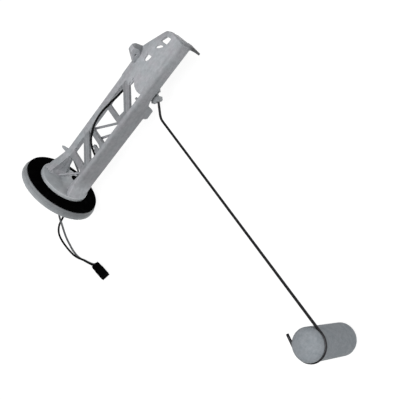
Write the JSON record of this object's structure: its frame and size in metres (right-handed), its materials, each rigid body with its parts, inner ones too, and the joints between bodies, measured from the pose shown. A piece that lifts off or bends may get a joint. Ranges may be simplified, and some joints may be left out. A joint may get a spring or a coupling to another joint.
{
  "type": "fuel level sender",
  "caption": "Flange-mounted fuel level sender: moulded tower, resistor and wiper near the tip, swinging wire arm with a cylindrical float, short leads to a plug.",
  "frame": {"origin": "centre of the seal's free face, on the axis of the round flange", "axes": "+X along the tower from the flange to the tip; +Z square to the tower's open face, up as it lies in the picture; the float arm reaches towards -Y"},
  "size_m": [0.2262, 0.2974, 0.073],
  "materials": {
    "grey_moulding": "matte natural acetal",
    "seal_rubber": "matte black",
    "rotor_plastic": "matte",
    "card_ceramic": "fired ceramic",
    "track_ink": "printed resistor",
    "track_silver": "printed conductor",
    "tin_brass": "tinned brass",
    "pin_steel": "bright steel",
    "spring_bronze": "phosphor bronze",
    "contact_silver": "silver alloy",
    "wire_steel": "dark drawn wire",
    "float_plastic": "closed-cell foam, lightly pitted",
    "lead_black": "satin insulation",
    "lead_grey": "satin insulation",
    "sleeve_grey": "shrunk sleeve",
    "plug_black": "satin moulding",
    "lock_grey": "satin moulding",
    "plug_seal": "matte"
  },
  "bodies": {
    "tower": {"mounting_flange": "grey_moulding", "flange_seal": "seal_rubber", "tower_frame": "grey_moulding", "sensor_plate": "grey_moulding", "resistor_card": "card_ceramic", "resistor_track": "track_ink", "collector_track": "track_silver", "card_terminals": "tin_brass", "card_rivets": "tin_brass", "pivot_pin": "pin_steel", "thrust_washer": "pin_steel", "retaining_clip": "pin_steel", "signal_lead": "lead_black", "ground_lead": "lead_grey", "crimp_sleeves": "sleeve_grey", "lead_grommet": "seal_rubber", "strain_relief": "seal_rubber", "lead_black": "lead_black", "lead_grey": "lead_grey", "connector_body": "plug_black", "connector_contacts": "tin_brass", "connector_lock": "lock_grey", "connector_seal": "plug_seal"},
    "arm": {"rotor": "rotor_plastic", "wiper_spring": "spring_bronze", "wiper_contacts": "contact_silver", "wiper_stakes": "rotor_plastic", "float_arm": "wire_steel", "float": "float_plastic"}
  },
  "joints": [
    {"name": "arm_pivot", "type": "hinge", "parent": "tower", "child": "arm", "pos_m": [0.121, -0.007, 0], "axis": [0, 0, 1], "range_deg": [-17, 62]}
  ]
}
